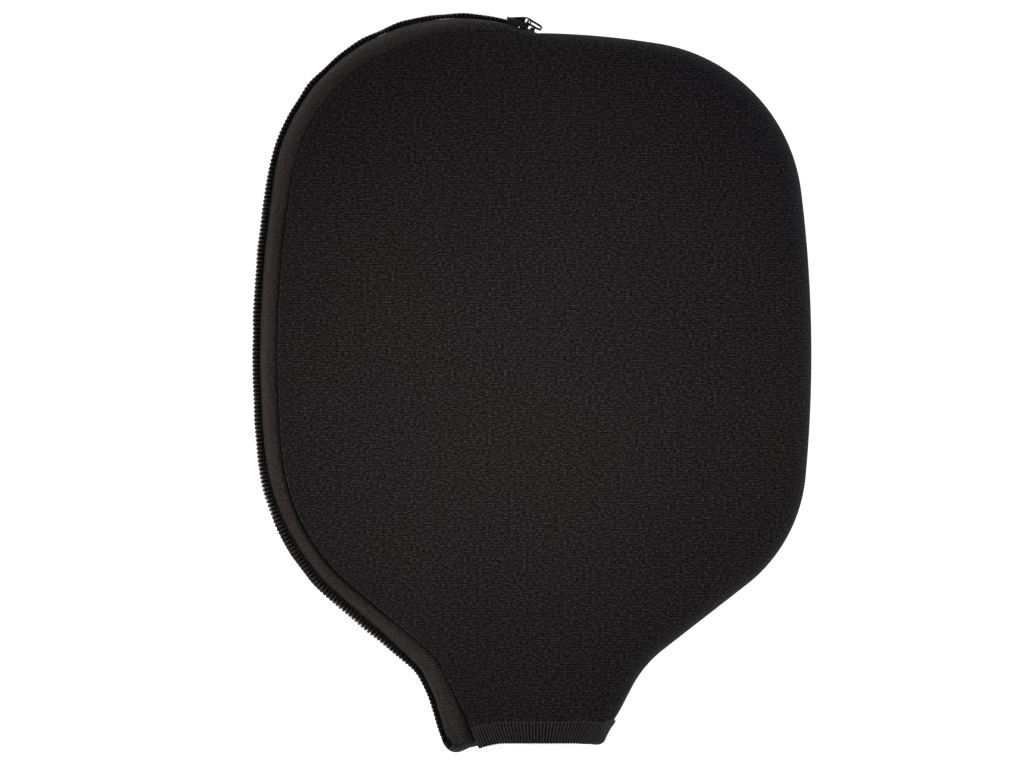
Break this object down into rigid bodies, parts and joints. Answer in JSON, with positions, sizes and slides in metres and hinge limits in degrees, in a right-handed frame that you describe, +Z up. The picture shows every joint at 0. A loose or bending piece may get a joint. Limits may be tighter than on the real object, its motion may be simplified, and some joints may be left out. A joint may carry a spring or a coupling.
{
  "type": "paddle case",
  "caption": "Black padded slip case shaped to a short-handled paddle, with a coil zipper round one side and an open neck for the handle.",
  "frame": {"origin": "under the middle of the closed case's outline, on the back panel's flat outer face, with the case lying on its back", "axes": "+Y from the neck to the crown, +X to the sewn side (the zipper is on the -X side), +Z up out of the front panel"},
  "size_m": [0.2218, 0.2925, 0.02],
  "materials": {
    "neoprene": "matte",
    "hem": "matte",
    "tape": "matte",
    "coil": "gloss",
    "cord": "matte",
    "thread": "matte",
    "black_metal": "satin",
    "stop": "satin"
  },
  "bodies": {
    "case": {"back_panel": "neoprene", "front_panel": "neoprene", "back_hem_band": "hem", "front_hem_band": "hem", "back_zip_tape": "tape", "back_zip_coil": "coil", "back_coil_cord": "cord", "back_coil_stitch": "thread", "back_tape_seam_thread": "thread", "side_seam_thread": "thread", "front_top_stop": "stop", "back_top_stop": "stop", "bottom_stop": "stop", "zip_end_tack": "thread"},
    "front_flap": {"front_flap_panel": "neoprene", "front_zip_tape": "tape", "front_zip_coil": "coil", "front_coil_cord": "cord", "front_coil_stitch": "thread", "front_tape_seam_thread": "thread"},
    "slider": {"slider_body": "black_metal", "slider_bail": "black_metal"},
    "pull": {"pull_loop": "black_metal"}
  },
  "joints": [
    {"name": "front_fold", "type": "hinge", "parent": "case", "child": "front_flap", "pos_m": [-0.008, 0.141, 0.02], "axis": [0.095, 0.9955, 0], "range_deg": [0, 100], "deforming": ["front_zip_tape", "front_zip_coil", "front_coil_cord", "front_coil_stitch", "front_tape_seam_thread"]},
    {"name": "zip_travel", "type": "hinge", "parent": "case", "child": "slider", "pos_m": [-0.0293, 0.0697, 0.01], "axis": [0, 0, 1], "range_deg": [0, 94], "deforming": ["front_zip_coil", "back_zip_coil", "front_coil_cord", "back_coil_cord", "front_coil_stitch", "back_coil_stitch"]},
    {"name": "pull_swing", "type": "hinge", "parent": "slider", "child": "pull", "pos_m": [-0.00149, 0.14291, 0.0119], "axis": [-0.0435, -0.1322, 0.9903], "range_deg": [0, 165]}
  ]
}
